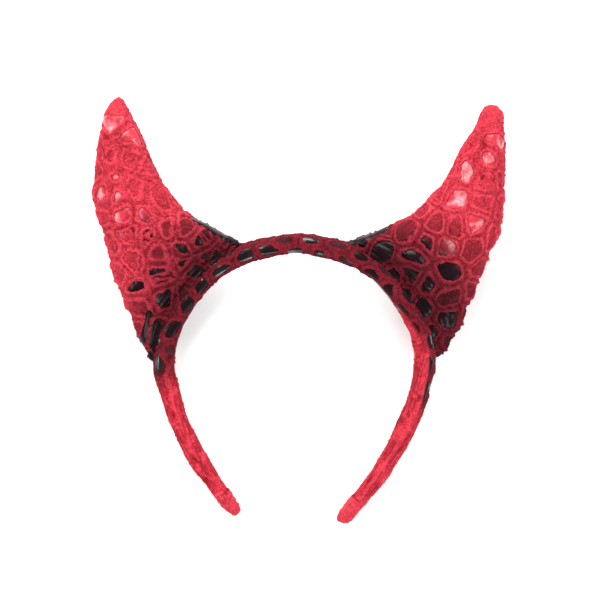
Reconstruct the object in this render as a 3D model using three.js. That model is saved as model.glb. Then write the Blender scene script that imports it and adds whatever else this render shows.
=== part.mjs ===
// A devil horns headband: a fabric covered hoop with two stuffed horns seated on its shoulders,
// all wrapped in coarse lace. It lies on its back, on the horns and on the ends of its legs.
//
// The hoop is drawn in the plane it is worn in: x across the head, y up, z out of the face.
// Millimetres. The finished group is turned and lifted so that it rests on z = 0.

import * as THREE from 'three';

// Hoop: the centre line of the band
const hoopHalfWidth = 58.9;
const hoopHeight = 124.6;
const legLean = 1.6;
const legLeanStart = 0.25;
const leftLegShare = 0.978;

// Band: the covered hoop without its lace
const bandThickness = 7.5;
const bandDepth = 10.6;
const bandSquareness = 2.7;
const bandSides = 12;
const bandSegments = 45;
const gatherHeight = 0.25;
const gatherPitch = 17;

// Lace: a net of cords with open cells, lying just clear of the fabric
const laceGap = 0.55;
const laceThickness = 1;
const seatGap = 0.3;
const hornCellPitch = 16;
const hornCordWidth = 3.6;
const hornCordRun = 9;
const hornCordSag = 0.24;
const bandCellPitch = 15.5;
const bandCordWidth = 2.9;
const bandCordStep = { x: 2.6, y: 10 };
const bandLaceHalfTurn = THREE.MathUtils.degToRad(128);
const bandLaceRows = 2;
const cellJitter = 0.2;
const fewestCells = 3;
const firstRow = 0.55;
const lastRow = 0.3;
const smallestOpening = 1.6;
const openingStretch = 2;
const laceTop = 0.955;
const laceCapRing = 0.985;
const sheetSteps = 80;
const sameCorner = 0.02;

// Wraps: the covering folded over each leg end
const wrapLength = 10.5;
const wrapThickness = 1.2;
const wrapGap = 0.4;
const wrapDome = 2.3;
const wrapRounding = 0.8;

// Horns: measured from the centre line of the band to the tip
const hornLength = 98.1;
const hornBaseWidth = 62;
const hornDepth = 34;
const hornSeamDepth = 15;
const hornSquareness = 2.15;
const hornPinchReach = 42;
const hornSeat = 56;
const hornSides = 24;
const hornRings = 14;
const ringCrowding = 0.6;

// Half of the hoop's centre line, as shares of its half width and its height
const hoopOutline = [
  { across: 0, down: 0 },
  { across: 0.19, down: 0.012 },
  { across: 0.36, down: 0.032 },
  { across: 0.617, down: 0.095 },
  { across: 0.814, down: 0.194 },
  { across: 0.943, down: 0.29 },
  { across: 1, down: 0.4 },
  { across: 0.963, down: 0.519 },
  { across: 0.866, down: 0.655 },
  { across: 0.715, down: 0.79 },
  { across: 0.398, down: 1 },
];

// Band sections from the top of the head to a leg end, as shares of its thickness and depth
const bandSections = [
  { at: 0, thickness: 1, depth: 1 },
  { at: 0.2, thickness: 1.04, depth: 1 },
  { at: 0.45, thickness: 1.16, depth: 1 },
  { at: 0.58, thickness: 1.04, depth: 0.98 },
  { at: 0.75, thickness: 1.04, depth: 0.93 },
  { at: 0.88, thickness: 0.88, depth: 0.87 },
  { at: 0.94, thickness: 0.62, depth: 0.83 },
  { at: 1, thickness: 0.5, depth: 0.8 },
];

// Horn sections along the centre line: half widths as shares of the base width, and depth
const hornSections = [
  { at: -0.14, inner: 0.64, outer: 0.52, depth: 0.9 },
  { at: 0, inner: 0.555, outer: 0.465, depth: 0.92 },
  { at: 0.15, inner: 0.462, outer: 0.378, depth: 0.95 },
  { at: 0.25, inner: 0.4, outer: 0.325, depth: 0.975 },
  { at: 0.35, inner: 0.337, outer: 0.286, depth: 1 },
  { at: 0.45, inner: 0.29, outer: 0.258, depth: 0.99 },
  { at: 0.55, inner: 0.248, outer: 0.228, depth: 0.9 },
  { at: 0.65, inner: 0.212, outer: 0.19, depth: 0.765 },
  { at: 0.75, inner: 0.178, outer: 0.148, depth: 0.61 },
  { at: 0.85, inner: 0.128, outer: 0.105, depth: 0.44 },
  { at: 0.94, inner: 0.063, outer: 0.066, depth: 0.25 },
  { at: 0.985, inner: 0.028, outer: 0.031, depth: 0.12 },
  { at: 1, inner: 0.004, outer: 0.004, depth: 0.015 },
];

// The two horns: which side, the lean at the base and the turn up to the tip in degrees
const horns = [
  { name: 'left', side: -1, lean: 46, turn: 49.6, reach: 1, fullness: 1.01 },
  { name: 'right', side: 1, lean: 41.4, turn: 47.2, reach: 0.985, fullness: 0.99 },
];

// Lumps and dents of the stuffing: place along the horn, place around it in degrees
// from its outer edge, spread and height as shares of the horn's depth
const lumps = [
  { horn: 'left', at: 0.6, around: 0, spread: 0.22, height: 0.034 },
  { horn: 'left', at: 0.5, around: -15, spread: 0.16, height: -0.02 },
  { horn: 'left', at: 0.3, around: 100, spread: 0.3, height: -0.03 },
  { horn: 'left', at: 0.55, around: 180, spread: 0.25, height: 0.02 },
  { horn: 'right', at: 0.46, around: 8, spread: 0.2, height: 0.05 },
  { horn: 'right', at: 0.97, around: 20, spread: 0.16, height: 0.035 },
  { horn: 'right', at: 0.64, around: 0, spread: 0.2, height: -0.025 },
  { horn: 'right', at: 0.34, around: 80, spread: 0.3, height: -0.028 },
];

const glossyFabric = { color: 0x1c0d11, roughness: 0.3, metalness: 0 };
const hornFabric = { color: 0x7a1420, roughness: 0.35, metalness: 0 };
const redLace = { color: 0xd0203a, roughness: 0.85, metalness: 0 };
const redWrap = { color: 0xdc2c44, roughness: 0.6, metalness: 0 };

// Smooth value of a table's column, rows sorted by 'at'
function columnAt(rows, column, at) {
  const last = rows.length - 1;
  let i = 0;
  while (i < last - 1 && rows[i + 1].at < at) i += 1;
  const slope = (k) => {
    const a = rows[Math.max(k - 1, 0)];
    const b = rows[Math.min(k + 1, last)];
    return (b[column] - a[column]) / (b.at - a.at);
  };
  const [low, high] = [rows[i], rows[i + 1]];
  const span = high.at - low.at;
  const t = THREE.MathUtils.clamp((at - low.at) / span, 0, 1);
  const [t2, t3] = [t * t, t * t * t];
  return (
    (2 * t3 - 3 * t2 + 1) * low[column] +
    (t3 - 2 * t2 + t) * span * slope(i) +
    (3 * t2 - 2 * t3) * high[column] +
    (t3 - t2) * span * slope(i + 1)
  );
}

// A repeatable number from 0 to 1 for a pair of whole numbers
function scatter(a, b) {
  const value = Math.sin(a * 127.1 + b * 311.7) * 43758.5453;
  return value - Math.floor(value);
}

// The hoop's centre line from the top of the head down one side
const sideCurve = new THREE.CatmullRomCurve3(
  [
    ...hoopOutline.slice(1, 3).reverse().map(({ across, down }) => [-across, down]),
    ...hoopOutline.map(({ across, down }) => [across, down]),
  ].map(([across, down]) => new THREE.Vector3(across * hoopHalfWidth, -down * hoopHeight, 0)),
  false,
  'centripetal',
);
sideCurve.arcLengthDivisions = 400;
const curveLength = sideCurve.getLength();
const topOfCurve = (() => {
  let [low, high] = [0, 1];
  for (let k = 0; k < 40; k += 1) {
    const middle = (low + high) / 2;
    if (sideCurve.getPointAt(middle).x < 0) low = middle;
    else high = middle;
  }
  return low;
})();
const legLength = curveLength * (1 - topOfCurve);
const bandEnd = legLength - wrapThickness - seatGap;
const wrapStart = legLength - wrapLength;

// Station of the band: place, outward direction and sizes at a distance from the top, positive
// down the right leg and negative down the left one, which is a little shorter. Both lean left.
function bandStation(distance) {
  const side = distance < 0 ? -1 : 1;
  const share = Math.abs(distance) / legLength;
  const reached = side < 0 ? share * leftLegShare : share;
  const at = Math.min(topOfCurve + (1 - topOfCurve) * reached, 1);
  const centre = sideCurve.getPointAt(at);
  const tangent = sideCurve.getTangentAt(at);
  const outward = new THREE.Vector3(-tangent.y * side, tangent.x, 0).normalize();
  const lean = legLean * THREE.MathUtils.smoothstep(-centre.y / hoopHeight, legLeanStart, 1);
  centre.x = side * centre.x - lean;
  const gather = gatherHeight * Math.cos((2 * Math.PI * distance) / gatherPitch);
  const thickness = bandThickness * columnAt(bandSections, 'thickness', share) + gather;
  const depth = bandDepth * columnAt(bandSections, 'depth', share);
  return { centre, outward, halfThickness: thickness / 2, halfDepth: depth / 2 };
}

// Point around a superellipse, as shares of its two half sizes
function roundedSection(angle, squareness) {
  const bend = (value) => Math.sign(value) * Math.abs(value) ** (2 / squareness);
  return [bend(Math.cos(angle)), bend(Math.sin(angle))];
}

// Point on the band: angle 0 is the outside of the hoop, and lift is the height above the fabric
function bandPoint(angle, distance, lift) {
  const { centre, outward, halfThickness, halfDepth } = bandStation(distance);
  const [out, front] = roundedSection(angle, bandSquareness);
  return centre
    .clone()
    .addScaledVector(outward, out * (halfThickness + lift))
    .add(new THREE.Vector3(0, 0, front * (halfDepth + lift)));
}

const hornSeatLift = laceGap + laceThickness + seatGap;

// How the foot of a horn is searched for, in shares of the horn's length
const seamSearch = { low: -0.14, high: 0.34, step: 0.01, precision: 1e-5, angles: 180 };
const slopeStep = 2e-3;
const seatSteps = 180;

// The band's centre line on one side, turned over to the right for the left side
function seatStations(side) {
  return Array.from({ length: seatSteps + 1 }, (_, k) => {
    const { centre, halfThickness } = bandStation(side * (k / seatSteps) * legLength);
    return { x: side * centre.x, y: centre.y, halfThickness };
  });
}

// How far a point of the hoop's plane lies outside the band with its lace
function clearOfBand(stations, x, y) {
  const away = (station) => Math.hypot(x - station.x, y - station.y) - station.halfThickness;
  return Math.min(...stations.map(away)) - hornSeatLift;
}

// The fabric surface of one horn, as a function of the angle around it, the share of the way
// from its seam on the band to its tip, and the lift above the fabric
function hornSurface({ name, side, lean, turn, reach, fullness }) {
  const root = bandStation(hornSeat).centre;
  const length = hornLength * reach;
  const startHeading = THREE.MathUtils.degToRad(lean);
  const turning = THREE.MathUtils.degToRad(turn) / length;
  const ownLumps = lumps.filter((lump) => lump.horn === name);
  const stations = seatStations(side);

  const spine = (share) => {
    const run = share * length;
    const heading = startHeading + turning * run;
    const x = root.x + (Math.sin(heading) - Math.sin(startHeading)) / turning;
    const y = root.y - (Math.cos(heading) - Math.cos(startHeading)) / turning;
    return { x, y, heading };
  };

  const flatPoint = (angle, share) => {
    const { x, y, heading } = spine(share);
    const [across] = roundedSection(angle, hornSquareness);
    const column = across > 0 ? 'outer' : 'inner';
    const width = across * columnAt(hornSections, column, share) * hornBaseWidth * fullness;
    return { x: x + Math.sin(heading) * width, y: y - Math.cos(heading) * width };
  };

  // Share at which a line up the horn leaves the band, found once for angles all around
  const leavesBand = (angle) => {
    const clearAt = (share) => {
      const { x, y } = flatPoint(angle, share);
      return clearOfBand(stations, x, y);
    };
    let outside = seamSearch.high;
    while (outside > seamSearch.low && clearAt(outside) > 0) outside -= seamSearch.step;
    let inside = outside;
    outside += seamSearch.step;
    while (outside - inside > seamSearch.precision) {
      const middle = (inside + outside) / 2;
      if (clearAt(middle) > 0) outside = middle;
      else inside = middle;
    }
    return outside;
  };
  const seams = aroundRing(seamSearch.angles, leavesBand);
  const seam = (angle) => {
    const turns = angle / (2 * Math.PI);
    const k = (turns - Math.floor(turns)) * seamSearch.angles;
    const below = Math.floor(k) % seamSearch.angles;
    return THREE.MathUtils.lerp(seams[below], seams[(below + 1) % seamSearch.angles], k % 1);
  };

  const fabric = (angle, along) => {
    const base = seam(angle);
    const share = base + (1 - base) * along;
    const { x, y } = flatPoint(angle, share);
    const [, front] = roundedSection(angle, hornSquareness);
    const pinch = 1 - Math.max(1 - (along * (1 - base) * length) / hornPinchReach, 0) ** 2;
    const fullDepth = columnAt(hornSections, 'depth', share) * hornDepth;
    const depth = THREE.MathUtils.lerp(Math.min(hornSeamDepth, fullDepth), fullDepth, pinch);
    return new THREE.Vector3(side * x, y, (front * depth) / 2);
  };

  const normal = (angle, along) => {
    const inner = THREE.MathUtils.clamp(along, slopeStep, 1 - 2 * slopeStep);
    const around = fabric(angle + slopeStep, inner).sub(fabric(angle - slopeStep, inner));
    const up = fabric(angle, inner + slopeStep).sub(fabric(angle, inner - slopeStep));
    return around.cross(up).multiplyScalar(-side).normalize();
  };

  const swell = (angle, along) =>
    ownLumps.reduce((sum, lump) => {
      const turned = Math.atan2(
        Math.sin(angle - THREE.MathUtils.degToRad(lump.around)),
        Math.cos(angle - THREE.MathUtils.degToRad(lump.around)),
      );
      const radius = columnAt(hornSections, 'depth', lump.at) * hornDepth * 0.5;
      const away = Math.hypot(turned * radius, (along - lump.at) * length);
      const spread = lump.spread * hornDepth;
      return sum + lump.height * hornDepth * Math.exp(-((away / spread) ** 2));
    }, 0);

  const tipFade = (along) => 1 - THREE.MathUtils.smoothstep(along, 0.985, 1);
  const point = (angle, along, lift) =>
    fabric(angle, along).addScaledVector(normal(angle, along), lift + swell(angle, along) * tipFade(along));

  const tip = (lift) => {
    const { x, y, heading } = spine(1);
    return new THREE.Vector3(side * (x + Math.cos(heading) * lift), y + Math.sin(heading) * lift, 0);
  };
  const radiusAt = (along) => {
    const width = columnAt(hornSections, 'inner', along) + columnAt(hornSections, 'outer', along);
    return (width * hornBaseWidth + columnAt(hornSections, 'depth', along) * hornDepth) / 4;
  };
  return { point, tip, radiusAt, length, side };
}

// Closed geometry from shared vertices and triangles
function geometryOf(points, triangles) {
  const geometry = new THREE.BufferGeometry();
  geometry.setAttribute('position', new THREE.Float32BufferAttribute(points.flatMap((p) => [p.x, p.y, p.z]), 3));
  geometry.setIndex(triangles);
  let volume = 0;
  for (let k = 0; k < triangles.length; k += 3) {
    const [a, b, c] = triangles.slice(k, k + 3).map((i) => points[i]);
    volume += a.dot(new THREE.Vector3().crossVectors(b, c));
  }
  if (volume < 0) geometry.setIndex([...triangles].reverse());
  geometry.computeVertexNormals();
  return geometry;
}

// Skin through rings of equally many points, closed at each end by the given way
function loft(rings, closeStart, closeEnd) {
  const sides = rings[0].length;
  const points = rings.flat();
  const triangles = [];
  for (let k = 0; k < rings.length - 1; k += 1) {
    for (let i = 0; i < sides; i += 1) {
      const [a, b] = [k * sides + i, k * sides + ((i + 1) % sides)];
      triangles.push(a, b, b + sides, a, b + sides, a + sides);
    }
  }
  const close = (first, how, flip) => {
    const add = (a, b, c) => triangles.push(...(flip ? [a, c, b] : [a, b, c]));
    if (how.isVector3) {
      const centre = points.push(how) - 1;
      for (let i = 0; i < sides; i += 1) add(centre, first + ((i + 1) % sides), first + i);
      return;
    }
    for (let i = 0; i < sides / 2; i += 1) {
      const [a, b] = [first + i, first + i + 1];
      const [d, c] = [first + ((sides - i) % sides), first + sides - i - 1];
      if (a !== d) add(a, d, c);
      if (b !== c) add(a, c, b);
    }
  };
  close(0, closeStart, false);
  close((rings.length - 1) * sides, closeEnd, true);
  return geometryOf(points, triangles);
}

// Closes a ring, which mirrors front to back, by rungs straight across it
const rungs = 'rungs';

function aroundRing(sides, pointAt, firstSide = 0) {
  return Array.from({ length: sides }, (_, i) => pointAt((2 * Math.PI * (i + firstSide)) / sides));
}

// Ring around the band, with a flat side square to the hoop's plane inside and outside
function bandRing(distance, lift) {
  return aroundRing(bandSides, (angle) => bandPoint(angle, distance, lift), 0.5);
}

// Part of a convex polygon nearer to one point than to another
function nearerPart(polygon, own, other) {
  const normal = { x: other.x - own.x, y: other.y - own.y };
  const limit = ((other.x + own.x) * normal.x + (other.y + own.y) * normal.y) / 2;
  const side = (p) => p.x * normal.x + p.y * normal.y - limit;
  const kept = [];
  polygon.forEach((p, i) => {
    const q = polygon[(i + 1) % polygon.length];
    const [a, b] = [side(p), side(q)];
    if (a <= 0) kept.push(p);
    if (a * b < 0) {
      const t = a / (a - b);
      kept.push({ x: p.x + (q.x - p.x) * t, y: p.y + (q.y - p.y) * t });
    }
  });
  return kept;
}

// How far a point lies from the line through two others
function distanceToEdge(point, a, b) {
  const area = (b.x - a.x) * (point.y - a.y) - (b.y - a.y) * (point.x - a.x);
  return Math.abs(area) / Math.hypot(b.x - a.x, b.y - a.y);
}

// Cells of a flat sheet around scattered seeds, as loops of shared corners.
// A period makes the sheet meet itself across.
function cellsAround(seeds, low, high, period) {
  const corners = [];
  const cornerOf = ({ x, y }) => {
    const same = corners.findIndex((c) => {
      const across = period ? c.x - x - period * Math.round((c.x - x) / period) : c.x - x;
      return Math.hypot(across, c.y - y) < sameCorner;
    });
    return same < 0 ? corners.push({ x, y }) - 1 : same;
  };
  const shifts = period ? [-period, 0, period] : [0];
  const cells = seeds.map((seed) => {
    const [left, right] = period ? [seed.x - period / 2, seed.x + period / 2] : [low.x, high.x];
    let polygon = [
      { x: left, y: low.y },
      { x: right, y: low.y },
      { x: right, y: high.y },
      { x: left, y: high.y },
    ];
    for (const other of seeds) {
      if (other === seed) continue;
      for (const shift of shifts) polygon = nearerPart(polygon, seed, { x: other.x + shift, y: other.y });
    }
    const loop = polygon.map(cornerOf).filter((c, i, all) => c !== all[(i + 1) % all.length]);
    return { seed, loop };
  });
  return { corners, cells };
}

// A net over a surface: each cell of the sheet becomes an opening with cord around it.
// place gives the point of the surface at a place of the sheet and a lift, scaleAt the
// millimetres that one unit of the sheet is there, and cordStep the longest straight piece
// of cord across and along the sheet. A cap closes the top with a ring and a point.
function laceNet({ corners, cells }, { place, scaleAt, cordWidth, cordStep, period, cap }) {
  const points = [];
  const triangles = [];
  // Each place has an outer point, and its inner one follows it
  const addPair = (outer, inner) => points.push(outer, inner) - 2;
  const pairAt = ({ x, y }) => addPair(place(x, y, laceGap + laceThickness), place(x, y, laceGap));
  const cover = (a, b, c) => triangles.push(a, b, c, a + 1, c + 1, b + 1);
  const wall = (a, b) => triangles.push(a, b, b + 1, a, b + 1, a + 1);

  const cornerPairs = corners.map(pairAt);
  const edgePairs = new Map();
  const openEdges = new Map();
  const unwrap = (x, to) => (period ? x - period * Math.round((x - to) / period) : x);

  // Points on the edge after a corner of a loop, shared with the neighbour across that edge
  const edgePoints = (index, nextIndex, seed) => {
    const here = { x: unwrap(corners[index].x, seed.x), y: corners[index].y };
    const next = { x: unwrap(corners[nextIndex].x, seed.x), y: corners[nextIndex].y };
    const step = cordStep((here.y + next.y) / 2);
    const count = Math.ceil(
      Math.max(Math.abs(next.x - here.x) / step.x, Math.abs(next.y - here.y) / step.y, 1),
    );
    const between = Array.from({ length: count - 1 }, (_, k) => {
      const t = (k + 1) / count;
      return { x: THREE.MathUtils.lerp(here.x, next.x, t), y: THREE.MathUtils.lerp(here.y, next.y, t) };
    });
    const fromNeighbour = edgePairs.get(`${nextIndex},${index}`);
    const pairs = fromNeighbour ? [...fromNeighbour].reverse() : between.map(pairAt);
    edgePairs.set(`${index},${nextIndex}`, pairs);
    return [{ ...here, pair: cornerPairs[index] }, ...between.map((p, k) => ({ ...p, pair: pairs[k] }))];
  };

  for (const { seed, loop } of cells) {
    const rim = loop.flatMap((index, i) => edgePoints(index, loop[(i + 1) % loop.length], seed));
    const count = rim.length;
    const centre = {
      x: rim.reduce((sum, p) => sum + p.x, 0) / count,
      y: rim.reduce((sum, p) => sum + p.y, 0) / count,
    };
    const nearestEdge = Math.min(...rim.map((p, i) => distanceToEdge(centre, p, rim[(i + 1) % count])));
    const opening = nearestEdge - cordWidth / 2 / scaleAt(centre.y);
    const isOpen = opening * scaleAt(centre.y) > smallestOpening;
    const ring = rim.map((p) => {
      const fromCentre = Math.hypot(p.x - centre.x, p.y - centre.y);
      const reach = isOpen ? Math.min(opening / nearestEdge, (opening * openingStretch) / fromCentre) : 0.5;
      const place = { x: centre.x + (p.x - centre.x) * reach, y: centre.y + (p.y - centre.y) * reach };
      return { ...place, pair: pairAt(place) };
    });
    const middle = isOpen ? null : pairAt(centre);
    rim.forEach((a, i) => {
      const k = (i + 1) % count;
      const [b, c, d] = [rim[k], ring[k], ring[i]];
      if (Math.abs(c.x - a.x) < Math.abs(d.x - b.x)) {
        cover(a.pair, b.pair, c.pair);
        cover(a.pair, c.pair, d.pair);
      } else {
        cover(a.pair, b.pair, d.pair);
        cover(b.pair, c.pair, d.pair);
      }
      if (isOpen) wall(d.pair, c.pair);
      else cover(d.pair, c.pair, middle);
    });
    rim.forEach((p, i) => {
      const next = rim[(i + 1) % count];
      if (!openEdges.delete(`${next.pair},${p.pair}`)) openEdges.set(`${p.pair},${next.pair}`, [p, next]);
    });
  }

  // What no neighbour shares is the net's border: it rises to the cap, or gets a wall
  const top = Math.max(...corners.map(({ y }) => y));
  const tip = cap && addPair(cap.tip(laceGap + laceThickness), cap.tip(laceGap));
  const capRing = new Map();
  const aboveOf = (p) => {
    if (!capRing.has(p.pair)) capRing.set(p.pair, pairAt({ x: p.x, y: cap.ringAt }));
    return capRing.get(p.pair);
  };
  for (const [p, next] of openEdges.values()) {
    if (cap && top - p.y < sameCorner && top - next.y < sameCorner) {
      cover(next.pair, p.pair, aboveOf(p));
      cover(next.pair, aboveOf(p), aboveOf(next));
      cover(aboveOf(next), aboveOf(p), tip);
    } else wall(next.pair, p.pair);
  }
  return geometryOf(points, triangles);
}

// The lace of a horn. Its sheet is the angle around by a height that grows by the share of
// the radius, so that a small circle on the sheet is a circle on the horn.
function hornLace(surface) {
  const { point, tip, radiusAt, length } = surface;
  const heights = [0];
  for (let k = 1; k <= sheetSteps; k += 1) {
    const along = ((k - 0.5) / sheetSteps) * laceCapRing;
    heights.push(heights[k - 1] + (laceCapRing * length) / sheetSteps / radiusAt(along));
  }
  const heightAt = (along) => {
    const k = Math.max((along / laceCapRing) * sheetSteps, 0);
    return THREE.MathUtils.lerp(heights[Math.floor(k)], heights[Math.floor(k) + 1], k % 1);
  };
  const alongAt = (height) => {
    const above = heights.findIndex((value) => value > height);
    const k = above < 0 ? sheetSteps : Math.max(above, 1);
    const t = (height - heights[k - 1]) / (heights[k] - heights[k - 1]);
    return ((k - 1 + t) / sheetSteps) * laceCapRing;
  };

  const seeds = [];
  const rowPitch = (hornCellPitch * Math.sqrt(3)) / 2;
  const highest = laceTop * length - rowPitch * lastRow;
  for (let run = rowPitch * firstRow, row = 0; run < highest; run += rowPitch, row += 1) {
    const radius = radiusAt(run / length);
    const count = Math.max(fewestCells, Math.round((2 * Math.PI * radius) / hornCellPitch));
    for (let i = 0; i < count; i += 1) {
      const shift = (row % 2) / 2 + (scatter(row + surface.side, i) - 0.5) * 2 * cellJitter;
      const climb = (scatter(i, row + surface.side * 7) - 0.5) * rowPitch * cellJitter;
      seeds.push({ x: (2 * Math.PI * (i + shift)) / count, y: heightAt((run + climb) / length) });
    }
  }
  const period = 2 * Math.PI;
  const sheet = cellsAround(seeds, { y: 0 }, { y: heightAt(laceTop) }, period);
  return laceNet(sheet, {
    place: (x, y, lift) => point(x, alongAt(y), lift),
    scaleAt: (y) => radiusAt(alongAt(y)),
    cordWidth: hornCordWidth,
    cordStep: (y) => {
      const radius = radiusAt(alongAt(y));
      return { x: Math.sqrt((8 * hornCordSag) / radius), y: hornCordRun / radius };
    },
    period,
    cap: { ringAt: heights[sheetSteps], tip },
  });
}

// The lace of the band: a strip around its outside, front and back, open along the inside
function bandLace() {
  const angleScale = (bandThickness + bandDepth) / 4;
  const half = { x: bandLaceHalfTurn * angleScale, y: wrapStart - seatGap };
  const columns = Math.round((2 * half.y) / bandCellPitch);
  const seeds = [];
  for (let column = 0; column < columns; column += 1) {
    for (let row = 0; row < bandLaceRows; row += 1) {
      const shift = (row % 2 ? 0.2 : -0.2) + (scatter(column, row) - 0.5) * cellJitter;
      seeds.push({
        x: half.x * ((2 * row + 1) / bandLaceRows - 1),
        y: half.y * ((2 * (column + 0.5 + shift)) / columns - 1),
      });
    }
  }
  const sheet = cellsAround(seeds, { x: -half.x, y: -half.y }, half);
  return laceNet(sheet, {
    place: (x, y, lift) => bandPoint(x / angleScale, y, lift),
    scaleAt: () => 1,
    cordWidth: bandCordWidth,
    cordStep: () => bandCordStep,
  });
}

// The covered band, cut square inside its end wraps
function bandBody() {
  const rings = Array.from({ length: bandSegments + 1 }, (_, k) => {
    const distance = bandEnd * ((2 * k) / bandSegments - 1);
    return bandRing(distance, 0);
  });
  return loft(rings, bandStation(-bandEnd).centre, bandStation(bandEnd).centre);
}

// The covering folded over a leg end: a cup with a rounded bottom
function endWrap(side) {
  const ring = (distance, lift) => bandRing(side * distance, lift);
  const outside = wrapGap + wrapThickness;
  const rings = [
    ring(bandEnd + seatGap, wrapGap),
    ring((bandEnd + wrapStart) / 2, wrapGap),
    ring(wrapStart, wrapGap),
    ring(wrapStart, outside - wrapRounding / 2),
    ring(wrapStart + wrapRounding, outside),
    ring((bandEnd + wrapStart) / 2, outside),
    ring(legLength - wrapDome, outside),
    ring(legLength - wrapDome * 0.45, outside - wrapDome * 0.2),
    ring(legLength - wrapDome * 0.1, outside - wrapDome * 0.55),
    ring(legLength, outside - wrapDome),
  ];
  return loft(rings, bandStation(side * (bandEnd + seatGap)).centre, bandStation(side * legLength).centre);
}

// A stuffed horn, open to nothing: its foot follows the outside of the hoop
function hornBody({ point, tip }) {
  const rings = Array.from({ length: hornRings }, (_, k) => {
    const share = k / hornRings;
    const along = share - (ringCrowding * Math.sin(2 * Math.PI * share)) / (2 * Math.PI);
    return aroundRing(hornSides, (angle) => point(angle, along, 0));
  });
  return loft(rings, rungs, tip(0));
}

function mesh(name, geometry, look) {
  const made = new THREE.Mesh(geometry, new THREE.MeshStandardMaterial(look));
  made.name = name;
  return made;
}

const worn = new THREE.Group();
worn.add(mesh('band', bandBody(), glossyFabric), mesh('band_lace', bandLace(), redLace));
for (const horn of horns) {
  const surface = hornSurface(horn);
  worn.add(
    mesh(`horn_${horn.name}`, hornBody(surface), hornFabric),
    mesh(`horn_lace_${horn.name}`, hornLace(surface), redLace),
    mesh(`end_wrap_${horn.name}`, endWrap(horn.side), redWrap),
  );
}

// The angle at which the hoop lies on its back: the edge of the hull, seen from the side,
// that passes under the seats of the horns
function lyingAngle(group) {
  const profile = group.children
    .flatMap(({ geometry }) => {
      const { array } = geometry.getAttribute('position');
      return Array.from({ length: array.length / 3 }, (_, k) => ({ y: array[3 * k + 1], z: array[3 * k + 2] }));
    })
    .sort((a, b) => a.y - b.y || a.z - b.z);
  const hull = [];
  for (const p of profile) {
    const turn = ([a, b]) => (b.y - a.y) * (p.z - a.z) - (b.z - a.z) * (p.y - a.y);
    while (hull.length > 1 && turn(hull.slice(-2)) <= 0) hull.pop();
    hull.push(p);
  }
  const seatHeight = bandStation(hornSeat).centre.y;
  const next = hull.findIndex(({ y }) => y > seatHeight);
  const [a, b] = [hull[next - 1], hull[next]];
  return Math.atan2(a.z - b.z, b.y - a.y);
}

worn.rotation.x = lyingAngle(worn);
const headband = new THREE.Group();
headband.add(worn);
headband.updateMatrixWorld(true);
const box = new THREE.Box3().setFromObject(headband, true);
const middle = box.getCenter(new THREE.Vector3());
worn.position.set(-middle.x, -middle.y, -box.min.z);

export default headband;
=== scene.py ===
import math
from itertools import product

import bpy
import numpy as np
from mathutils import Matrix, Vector


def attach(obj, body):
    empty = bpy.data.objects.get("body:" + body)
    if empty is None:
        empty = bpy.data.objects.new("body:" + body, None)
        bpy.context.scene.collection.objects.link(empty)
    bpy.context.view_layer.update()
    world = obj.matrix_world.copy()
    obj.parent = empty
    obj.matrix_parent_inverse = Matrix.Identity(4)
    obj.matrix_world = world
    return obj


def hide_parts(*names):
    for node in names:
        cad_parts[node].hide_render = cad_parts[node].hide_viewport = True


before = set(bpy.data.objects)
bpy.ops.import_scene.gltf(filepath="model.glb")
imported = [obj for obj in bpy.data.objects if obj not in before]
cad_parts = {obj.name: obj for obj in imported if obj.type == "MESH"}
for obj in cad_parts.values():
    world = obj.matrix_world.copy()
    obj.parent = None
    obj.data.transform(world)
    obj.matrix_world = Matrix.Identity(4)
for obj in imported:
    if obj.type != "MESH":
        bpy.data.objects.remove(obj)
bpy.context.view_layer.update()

# Sizes of the part in millimetres, as its solids have them
HOOP_HALF_WIDTH, HOOP_HEIGHT = 58.9, 124.6
LEG_LEAN, LEG_LEAN_START, LEFT_LEG_SHARE = 1.6, 0.25, 0.978
BAND_THICKNESS, BAND_DEPTH, BAND_SQUARENESS = 7.5, 10.6, 2.7
LACE_GAP, LACE_THICKNESS, SEAT_GAP = 0.55, 1.0, 0.3
WRAP_LENGTH, WRAP_THICKNESS, WRAP_GAP, WRAP_DOME, WRAP_ROUNDING = 10.5, 1.2, 0.4, 2.3, 0.8
HORN_LENGTH, HORN_BASE_WIDTH, HORN_DEPTH = 98.1, 62.0, 34.0
HORN_SEAM_DEPTH, HORN_SQUARENESS, HORN_PINCH, HORN_SEAT = 15.0, 2.15, 42.0, 56.0

# How far a horn's cloth is tucked under the band's lace, as shares of its length, and its depth there
TUCK_START, TUCK, TUCK_DEPTH = 0.006, 0.045, 8.0
# Where a horn's tip begins to lean aside, and where its lumps end, as shares of its length
NUDGE_START, SWELL_END = 0.87, 0.985

# How the worn headband lies: the lean back of the hoop, where its top goes, and its room over the floor
REST_TILT = math.radians(5.51073)
REST_SHIFT = np.array([-1.80742, 29.33939, 17.56016])
FLOOR_ROOM = 0.05


def table(names, *rows):
    """Columns by name, from rows"""
    return {n: np.array(c, float) for n, c in zip(names.split(), zip(*rows))}


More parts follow.
